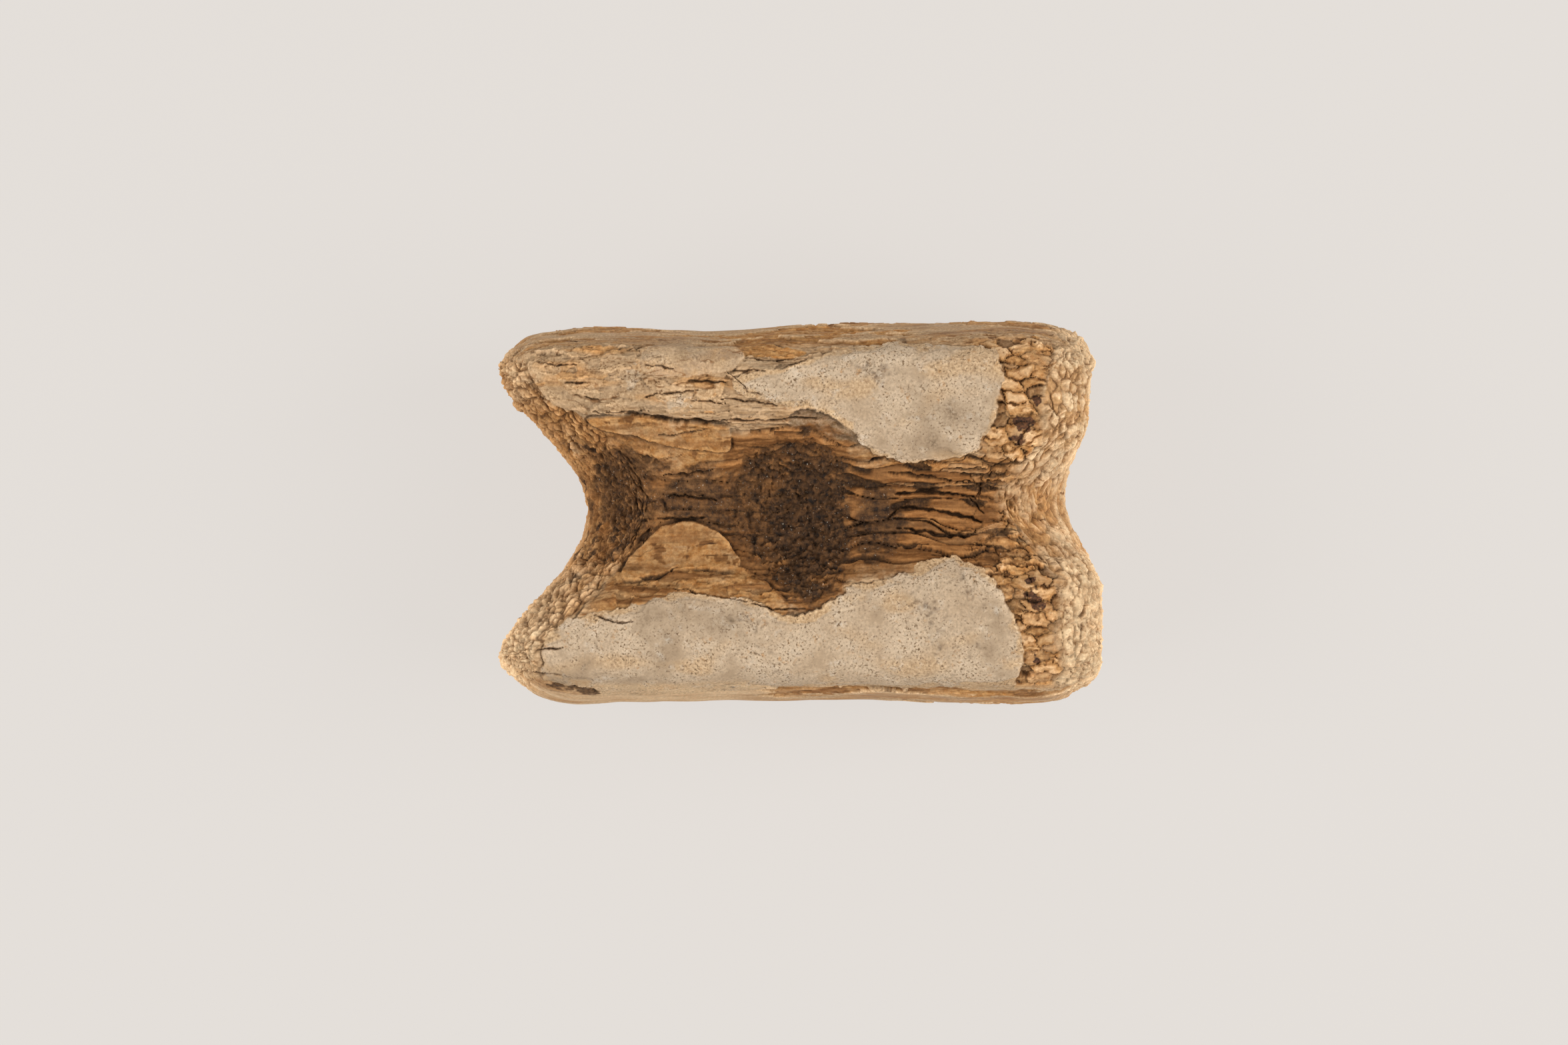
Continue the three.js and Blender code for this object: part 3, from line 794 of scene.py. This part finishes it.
# Blocks of split bone between the plates and the blunt rim.
BLOCKS_FROM, BLOCKS_FULL = 17.0, 21.0
block_place = ramp(BLOCKS_FROM, BLOCKS_FULL, frayed_x + wave(plan, 2.4, 139)) * (1 - plate_share)
block_place *= 1 - top_rim
jolted = ragged(ragged(plan, 0.45, 1.9, 240), 0.10, 0.5, 250)
block_chip, border, lengthwise, own = chips(jolted, (2.5, 1.35, 1.8), 142)
bit, bit_border, bit_way, bit_own = chips(jolted, (1.1, 0.65, 0.9), 246)
joint = 0.04 + 0.11 * ramp(0.0, 0.6, wave(plan, (2.2, 1.2, 1.5), 143)) * ramp(0.3, 0.7, lengthwise)
block_split = (1 - ramp(0.5, 1.5, border / joint)) * ramp(-0.5, 0.1, wave(plan, 1.7, 148))
sunken = ramp(0.74, 0.78, own[2])
split_up = ramp(0.4, 0.6, own[1])
blocks = 0.62 * block_chip + (0.06 + 0.24 * split_up) * bit + 0.26 * ramp(0, 0.45, border)
blocks += 0.06 * clods - 0.30 * block_split - 0.32 * sunken - 0.35
ground = mix(ground, blocks, block_place)
colour_layers["tone"][top] = mix(colour_layers["tone"][top], 0.7 * own[1] + 0.3 * bit_own[1], block_place)
lay("cream", 0.6 * block_place * ramp(-0.4, 0.2, blocks), top)
lay("ochre", block_place * (0.5 + 0.4 * own[0]), top)
lay("grey", 0.9 * block_place * np.maximum(sunken, 0.7 * ramp(0.1, 0.6, wave(plan, 1.8, 147))), top)
bit_edge = (1 - ramp(0.02, 0.10, bit_border)) * ramp(0.4, 0.8, bit_way) * split_up
lay("brown", block_place * np.maximum(0.55 * bit_edge, 0.75 * block_split), top)
lay("crack_and_shadow", 0.45 * block_place * block_split * ramp(0.6, 0.8, lengthwise), top)
lay("soil_and_shade", 0.35 * block_place * sunken, top)

# Single splits that show best: the points that each runs through, its width and its depth.
SPLITS = (
    (((-25.7, 14.2), (-23.3, 14.2)), 0.24, 0.4),
    (((-17.1, 12.7), (-14.2, 13.0), (-10.9, 13.4)), 0.22, 0.5),
    (((-12.3, 14.5), (-8.1, 14.2)), 0.32, 0.6),
    (((-12.1, 12.1), (-8.2, 11.9)), 0.20, 0.45),
    (((-22.8, 11.0), (-19.7, 10.8), (-16.5, 10.9)), 0.20, 0.4),
    (((-16.2, 8.3), (-13.2, 8.6), (-10.4, 9.0)), 0.18, 0.3),
    (((-18.8, 10.6), (-14.6, 10.0), (-10.9, 9.8), (-7.3, 9.7)), 0.34, 0.8),
    (((-27.7, 16.2), (-24.4, 16.1)), 0.22, 0.4),
    (((-24.9, 18.3), (-22.8, 18.3)), 0.18, 0.35),
    (((-17.0, 16.1), (-13.8, 15.7)), 0.20, 0.4),
    (((-19.2, 17.7), (-15.8, 18.8)), 0.18, 0.3),
    (((-23.5, 12.5), (-22.0, 12.3)), 0.22, 0.4),
    (((-8.8, 12.6), (-2.4, 11.7)), 0.22, 0.45),
    (((-6.1, 17.2), (-2.9, 16.7), (-0.4, 17.2)), 0.22, 0.4),
    (((-7.7, 15.4), (-3.7, 15.6)), 0.18, 0.35),
    (((5.8, 18.5), (10.1, 18.8)), 0.20, 0.4),
    (((-8.8, 10.1), (-3.7, 9.9), (2.0, 10.3)), 0.34, 0.6),
    (((8.6, 5.5), (13.2, 5.1), (17.7, 5.4), (18.6, 5.9)), 0.18, 0.4),
    (((9.7, 4.1), (13.2, 3.7), (16.7, 3.3)), 0.40, 0.8),
    (((15.3, 4.3), (19.7, 4.5), (24.4, 5.2)), 0.36, 0.8),
    (((10.4, 1.9), (14.6, 2.2), (19.2, 1.7)), 0.46, 0.9),
    (((16.8, 3.0), (18.3, 3.3), (20.0, 2.7)), 0.30, 0.6),
    (((11.0, 0.6), (14.6, 0.3), (18.3, -0.5), (20.2, -1.1)), 0.46, 0.9),
    (((10.5, -1.8), (13.9, -2.1), (16.7, -2.4), (19.2, -2.2)), 0.40, 0.8),
    (((10.5, -3.4), (14.2, -3.4)), 0.40, 0.7),
    (((14.2, -4.3), (16.4, -4.4), (18.5, -4.6)), 0.26, 0.6),
    (((18.9, -3.3), (21.2, -3.4)), 0.30, 0.6),
    (((18.5, 1.6), (19.4, 0.8), (20.3, -0.3)), 0.20, 0.5),
    (((19.9, 5.7), (20.0, 4.9)), 0.16, 0.4),
    (((18.3, 4.1), (18.8, 3.5)), 0.16, 0.4),
    (((18.9, -3.4), (18.8, -4.5)), 0.16, 0.4),
    (((-8.0, 15.2), (-6.5, 14.2), (-5.7, 13.2), (-4.0, 12.8)), 0.18, 0.25),
    (((-15.0, 4.0), (-12.4, 4.0), (-9.5, 4.6)), 0.30, 0.6),
    (((-14.6, 1.9), (-11.7, 1.8), (-9.1, 1.4)), 0.30, 0.6),
    (((-15.7, -0.7), (-13.2, -0.8), (-10.2, -0.5)), 0.36, 0.7),
    (((-15.0, -8.2), (-12.4, -8.4), (-10.2, -8.9), (-7.3, -9.4), (-5.5, -9.7)), 0.24, 0.6),
    (((-5.5, -9.8), (-2.9, -10.5), (0.7, -10.5)), 0.26, 0.6),
    (((-17.7, -7.1), (-15.4, -6.8), (-13.5, -6.1)), 0.22, 0.4),
    (((-29.2, -15.1), (-25.7, -14.8)), 0.22, 0.45),
    (((-29.4, -17.7), (-26.1, -17.8)), 0.22, 0.45),
    (((-22.5, -11.1), (-20.1, -12.0), (-18.3, -11.9)), 0.24, 0.4),
    (((-27.8, -18.9), (-24.6, -19.4), (-22.0, -19.9)), 0.7, 0.6),
)
split_x = tx + 0.22 * wave(plan, 1.3, 150) + 0.06 * wave(plan, 0.35, 153)
split_y = ty + 0.20 * wave(plan, 1.1, 151) + 0.07 * wave(plan, 0.35, 152)
for stops, width, depth in SPLITS:
    stops = np.array(stops)
    low_stop, high_stop = stops.min(axis=0) - 1, stops.max(axis=0) + 1
    near = np.flatnonzero((tx > low_stop[0]) & (tx < high_stop[0])
                          & (ty > low_stop[1]) & (ty < high_stop[1]))
    piece_count = len(stops) - 1
    gap = np.full(len(near), 9.0)
    run = np.zeros(len(near))
    for number in range(piece_count):
        away, along = to_segment(split_x[near], split_y[near], stops[number], stops[number + 1])
        run = np.where(away < gap, (number + along) / piece_count, run)
        gap = np.minimum(gap, away)
    half_width = 0.42 * width * (0.2 + np.sqrt(np.clip(4 * run * (1 - run), 0, 1)))
    half_width *= 0.75 + 0.5 * wave(plan[near], 0.9, 154)
    half_width = np.maximum(half_width, 0.02)
    ground[near] -= depth * (1 - ramp(0.2, 1.5, gap / half_width))
    lay("crack_and_shadow", 0.7 * (1 - ramp(0.5, 1.6, gap / half_width)), top[near])
    lay("brown", 0.5 * (1 - ramp(0.5, 3.5, gap / half_width)), top[near])

# Iron stains: purple-brown crusts beside the blocks. Centre, reach along and across.
IRON = (((24.4, 9.6), (1.5, 1.0)), ((24.0, 8.0), (1.5, 0.8)), ((25.6, -9.6), (1.3, 1.2)),
        ((25.9, 12.6), (0.4, 1.0)), ((25.0, -7.4), (0.9, 0.6)), ((26.0, -16.3), (0.6, 0.9)))
for centre, reach in IRON:
    depth = spot_depth(frayed_x, frayed_y, centre, reach)
    lay("iron", ramp(-0.15, 0.35, depth - 0.2 + 1.1 * clods + 0.25 * felt), top)
    ground -= 0.10 * ramp(0, 0.4, depth) * (1 + clods)

# The plates roll over the ridges' outer edges, and keep the walls' layers off there.
plate_roll = plate_share * ramp(0.2, 0.36, outward[top, 2])
ground_share = np.maximum(facing_up[top], plate_roll) * (1 - top_rim)
wall_share = ground_share - facing_up[top] * (1 - top_rim)
relief[top] += ground * ground_share - wall_relief[top] * wall_share

# ----------------------------------------------------------------------------------------
# The finished skin: relief moves each point along the smooth form's normal. Hollows are
# given painted shade and ridges a painted highlight, so the relief is compared with its own blur.

skin = form + outward * relief[:, None]
skin[:, 2] = np.maximum(skin[:, 2], 0)
skin_normals = sheet_normals(skin)
FINE_ROUNDS, WIDE_ROUNDS = 12, 160
fine_hollow = relief - spread(relief, FINE_ROUNDS)
wide_hollow = relief - spread(relief, WIDE_ROUNDS)
# Below its blur the relief is painted darker and above it lighter: painted shade and painted highlight.
colour_layers["raised"] = np.clip(0.5 + 1.8 * fine_hollow + 0.8 * wide_hollow, 0, 1)

# ----------------------------------------------------------------------------------------
# Old whale bone: porous cortical bone, dry and matt, stained by earth. It is pale and
# felted where the outer skin is whole, ochre where layers broke off, and near black in gaps.


def linear(hex_colour, alpha=1.0):
    """An sRGB hex colour as linear light: each channel c is ((c + 0.055) / 1.055) ** 2.4,
    or c / 12.92 where it is very dark."""
    channels = [int(hex_colour[start:start + 2], 16) / 255 for start in (1, 3, 5)]
    return [((c + 0.055) / 1.055) ** 2.4 if c > 0.04045 else c / 12.92 for c in channels] + [alpha]


bone = bpy.data.materials.new("dry_whale_bone")
bone.use_nodes = True
tree = bone.node_tree
tree.nodes.clear()


def add(kind, inputs=(), **settings):
    """Adds a node to the tree in hand. Settings are its own properties; inputs pair a socket's
    name or number with a value, or with the output that it is linked to."""
    made = tree.nodes.new(kind)
    for name, value in settings.items():
        setattr(made, name, value)
    for key, value in inputs:
        if isinstance(value, bpy.types.NodeSocket):
            tree.links.new(value, made.inputs[key])
        else:
            made.inputs[key].default_value = value
    return made


def layer_amount(name):
    """How much of a colour layer, painted shade included, lies at each point."""
    return add("ShaderNodeAttribute", attribute_name=name).outputs["Fac"]


def stretch(value, low, high, to_low=0.0, to_high=1.0, **settings):
    """The values from low to high, spread over those from to_low to to_high."""
    return add("ShaderNodeMapRange", [("Value", value), ("From Min", low), ("From Max", high),
                                      ("To Min", to_low), ("To Max", to_high)],
               **settings).outputs[0]


def product(first, second):
    """The two values multiplied."""
    return add("ShaderNodeMath", [(0, first), (1, second)], operation="MULTIPLY").outputs[0]


def blend(share, under, over, **settings):
    """The colour under, with the colour over it laid on by its share."""
    return add("ShaderNodeMix", [(0, share), (6, under), (7, over)], data_type="RGBA",
               **settings).outputs[2]


# Each noise's size in mm, detail and roughness. The real specks are about 0.15 mm; they are
# drawn at 0.24 mm, so that they show.
NOISES = {"felt": (0.30, 3, 0.60), "clod": (0.75, 4, 0.65), "cloud": (4.0, 3, 0.55),
          "bloom": (1.6, 3, 0.60), "grime": (8.0, 6, 0.68), "speck": (0.24, 2, 0.50)}
MM_PER_METRE = 1 / MM
place = add("ShaderNodeTexCoord").outputs["Object"]
noises = {}
for name, (size, detail, roughness) in NOISES.items():
    noise = add("ShaderNodeTexNoise", [("Vector", place), ("Scale", MM_PER_METRE / size),
                                       ("Detail", detail), ("Roughness", roughness)])
    noises[name] = noise.outputs["Fac"]

GRAIN_SIZE, GRAIN_STRETCH = 0.5, 0.12
grain_place = add("ShaderNodeMapping", [("Vector", place), ("Scale", (GRAIN_STRETCH, 1, 1))])
noise = add("ShaderNodeTexNoise", [("Vector", grain_place.outputs[0]), ("Detail", 3),
                                   ("Scale", MM_PER_METRE / GRAIN_SIZE)])
noises["grain"] = noise.outputs["Fac"]

colour = blend(stretch(noises["grain"], 0.3, 0.7), linear("#b18c63"), linear("#cfae88"))

# What lies on the bare bone, from the first to the last. Each coat has two colours that the
# given noise mixes, and its edge is broken up by the clod noise. The coat for cracks also
# holds painted shadow under edges, and the coat for earth painted shade inside the notch.
COATS = (("grey", "#8c7555", "#ad957a", "felt"), ("ochre", "#ab7238", "#d2a066", "clod"),
         ("plate", "#bfa485", "#d5bc9e", "cloud"), ("tan_edge", "#c09a70", "#d6b68e", "felt"),
         ("cream", "#dcb487", "#eed0a6", "clod"), ("brown", "#74481f", "#a37140", "grain"),
         ("soil_and_shade", "#22150b", "#6a4829", "clod"), ("iron", "#38251a", "#70492f", "felt"),
         ("crack_and_shadow", "#321d0c", "#614223", "felt"))
for coat_name, dark, light, pattern in COATS:
    coat = blend(stretch(noises[pattern], 0.35, 0.65), linear(dark), linear(light))
    worn = add("ShaderNodeMath", [(0, noises["clod"]), (1, -0.45), (2, 0.225)],
               operation="MULTIPLY_ADD")
    edge = add("ShaderNodeMath", [(0, layer_amount(coat_name)), (1, worn.outputs[0])],
               operation="ADD")
    share = stretch(edge.outputs[0], 0.1, 0.9, interpolation_type="SMOOTHSTEP")
    colour = blend(share, colour, coat)

# On the dense plates: chalky bloom, rusty spots, grime, and dark specks twice. Each has a
# noise with the levels where it starts and is full, and a noise that gathers it in drifts.
SPOTS = (("bloom", 0.55, 0.85, "clod", "#e6d9c6"), ("clod", 0.58, 0.72, "cloud", "#b98a58"),
         ("grime", 0.46, 0.30, "felt", "#7f6a52"), ("speck", 0.53, 0.70, "cloud", "#836a4d"),
         ("speck", 0.58, 0.70, "bloom", "#765c41"))
dense = layer_amount("plate")
for pattern, start, end, drift, tint in SPOTS:
    spot = product(stretch(noises[pattern], start, end), stretch(noises[drift], 0.40, 0.62))
    colour = blend(product(spot, dense), colour, linear(tint))

# Fine dark dashes along the grain where layers lie bare.
dash = stretch(noises["grain"], 0.40, 0.28, 0.0, 0.4)
bare = stretch(dense, 0.0, 1.0, 1.0, 0.0)
colour = blend(product(dash, bare), colour, linear("#6a4727"))

# White grit and dust caught in the earth.
dust = stretch(noises["speck"], 0.68, 0.74)
colour = blend(product(dust, layer_amount("soil_and_shade")), colour, linear("#b7aa98"))

# Fine specks all over, the tone of each layer, and the painted shade of hollows and painted highlight of
# ridges.
specks = stretch(noises["felt"], 0.3, 0.7, 0.80, 1.16)
relief_shading = stretch(layer_amount("raised"), 0.0, 1.0, 0.52, 1.29)
layer_tone = stretch(layer_amount("tone"), 0.0, 1.0, 0.80, 1.20)
shade = product(specks, product(layer_tone, relief_shading))
colour = blend(1.0, colour, shade, blend_type="MULTIPLY")

FELT_DEPTH = 0.12 * MM
bump_height = add("ShaderNodeMath", [(0, noises["felt"]), (1, noises["clod"])], operation="ADD")
bump = add("ShaderNodeBump", [("Height", bump_height.outputs[0]), ("Strength", 0.5),
                              ("Distance", FELT_DEPTH)])
dryness = stretch(noises["clod"], 0.0, 1.0, 0.68, 0.95)
shader = add("ShaderNodeBsdfPrincipled", [("Base Color", colour), ("IOR", 1.5),
                                          ("Specular IOR Level", 0.3),
                                          ("Roughness", dryness),
                                          ("Normal", bump.outputs[0])])
add("ShaderNodeOutputMaterial", [("Surface", shader.outputs[0])])

# ----------------------------------------------------------------------------------------
# The skin is made as strips of one sheet. Each small enough to keep all its cells. Their
# border points and normals are the same, so no seam shows.

STRIPS = {"top": 3, "base": 3, "blunt": 1, "notched": 1, "back": 1, "front": 1}


def make_strip(name, grid):
    """Quads over a grid of sheet points, with the grid as its map and the colour layers, painted
    shade among them, as point values."""
    rows, columns = grid.shape
    points = grid.ravel()
    local = np.arange(points.size).reshape(grid.shape)
    quads = np.stack([local[:-1, :-1], local[:-1, 1:], local[1:, 1:], local[1:, :-1]], -1)
    quads = quads.reshape(-1, 4)
    mesh = bpy.data.meshes.new(name)
    mesh.vertices.add(points.size)
    mesh.vertices.foreach_set("co", (skin[points] * MM).astype(np.float32).ravel())
    mesh.loops.add(quads.size)
    mesh.loops.foreach_set("vertex_index", quads.ravel().astype(np.int32))
    mesh.polygons.add(len(quads))
    mesh.polygons.foreach_set("loop_start", np.arange(0, quads.size, 4, dtype=np.int32))
    mesh.polygons.foreach_set("use_smooth", np.ones(len(quads), dtype=bool))
    mesh.update(calc_edges=True)
    row, column = np.divmod(quads.ravel(), columns)
    flat = mesh.uv_layers.new(name="OFBake")
    corners = np.stack([column / (columns - 1), row / (rows - 1)], axis=1)
    flat.data.foreach_set("uv", corners.astype(np.float32).ravel())
    for coat_name, amount in colour_layers.items():
        mesh.attributes.new(coat_name, "FLOAT", "POINT").data.foreach_set(
            "value", amount[points].astype(np.float32))
    mesh.normals_split_custom_set_from_vertices(skin_normals[points])
    mesh.materials.append(bone)
    strip = bpy.data.objects.new(name, mesh)
    bpy.context.collection.objects.link(strip)
    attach(strip, "root")
    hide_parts("centrum")


for face, count in STRIPS.items():
    grid = face_points[face]
    cuts = np.linspace(0, len(grid) - 1, count + 1).astype(int)
    for number, (start, end) in enumerate(zip(cuts, cuts[1:]), start=1):
        name = f"bone_{face}" if count == 1 else f"bone_{face}_{number}"
        make_strip(name, grid[start:end + 1])

# ----------------------------------------------------------------------------------------
# The floor is a matt pale board lit from below like a light table, which leaves almost no
# shadow. Two wide soft lamps and a pale room light the bone.

bpy.context.scene.view_settings.view_transform = "Standard"

FLOOR_SIZE = 6.0
floor_mesh = bpy.data.meshes.new("floor")
side = FLOOR_SIZE / 2
floor_mesh.from_pydata([(-side, -side, 0), (side, -side, 0), (side, side, 0), (-side, side, 0)],
                       [], [(0, 1, 2, 3)])
floor = bpy.data.objects.new("floor", floor_mesh)
bpy.context.collection.objects.link(floor)
board = bpy.data.materials.new("matt_light_board")
board.use_nodes = True
tree = board.node_tree
tree.nodes.clear()
board_shader = add("ShaderNodeBsdfPrincipled", [("Base Color", linear("#5c5a58")),
                                                ("Roughness", 0.95),
                                                ("Specular IOR Level", 0.0),
                                                ("Emission Color", linear("#e0dbd6")),
                                                ("Emission Strength", 0.88)])
add("ShaderNodeOutputMaterial", [("Surface", board_shader.outputs[0])])
floor_mesh.materials.append(board)

room = bpy.data.worlds.new("room")
room.use_nodes = True
tree = room.node_tree
tree.nodes.clear()
sky = add("ShaderNodeBackground", [("Color", linear("#fbf8f4")), ("Strength", 0.42)])
add("ShaderNodeOutputWorld", [("Surface", sky.outputs[0])])
bpy.context.scene.world = room

LAMP_WIDTH, LAMP_LENGTH = 0.5, 0.6
LAMPS = (("lamp_left", (-0.60, -0.10, 0.55), 3.7), ("lamp_right", (0.62, -0.04, 0.55), 4.6))
for name, spot, power in LAMPS:
    lamp_data = bpy.data.lights.new(name, "AREA")
    lamp_data.shape = "RECTANGLE"
    lamp_data.size = LAMP_WIDTH
    lamp_data.size_y = LAMP_LENGTH
    lamp_data.energy = power
    lamp = bpy.data.objects.new(name, lamp_data)
    lamp.location = spot
    aim = np.array(spot) - middle
    lamp.rotation_euler = (0, math.atan2(math.hypot(aim[0], aim[1]), aim[2]),
                           math.atan2(aim[1], aim[0]))
    bpy.context.collection.objects.link(lamp)

bpy.context.view_layer.update()
